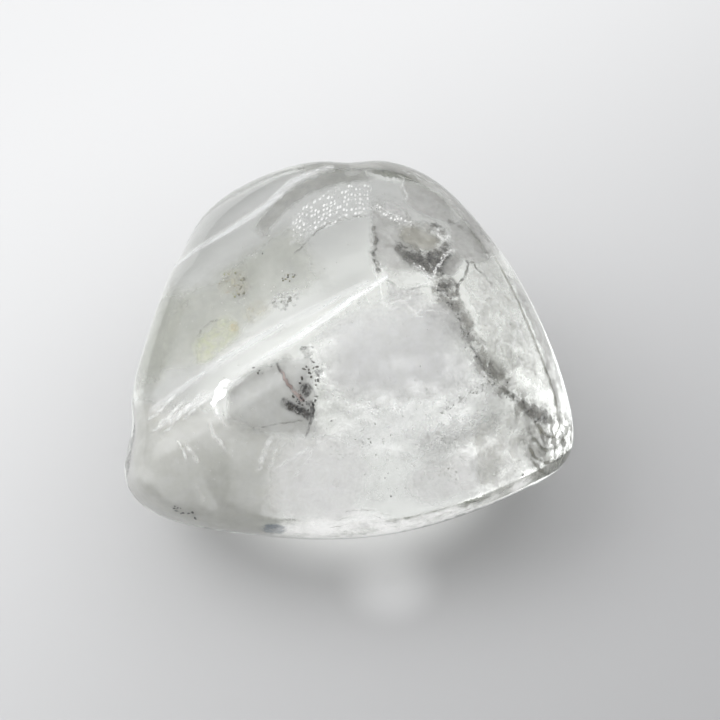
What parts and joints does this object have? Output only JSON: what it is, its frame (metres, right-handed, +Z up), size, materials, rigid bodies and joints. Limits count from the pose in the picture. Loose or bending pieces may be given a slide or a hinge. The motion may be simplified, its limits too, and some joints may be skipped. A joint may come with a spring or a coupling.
{
  "type": "tumbled stone",
  "caption": "Tumbled clear quartz stone: a rounded, broad-faced lump with diagonal worn valleys across its upper left and internal fractures.",
  "frame": {"origin": "on the surface that the stone rests on, under the middle of its bounding box", "axes": "+Z up as the stone lies in the picture, +X to the viewer's right along its longest side, +Y away from the viewer"},
  "size_m": [0.0344, 0.0324, 0.0226],
  "materials": {
    "clear_quartz": "polished"
  },
  "bodies": {
    "root": {"tumbled_stone": "clear_quartz"}
  },
  "joints": []
}
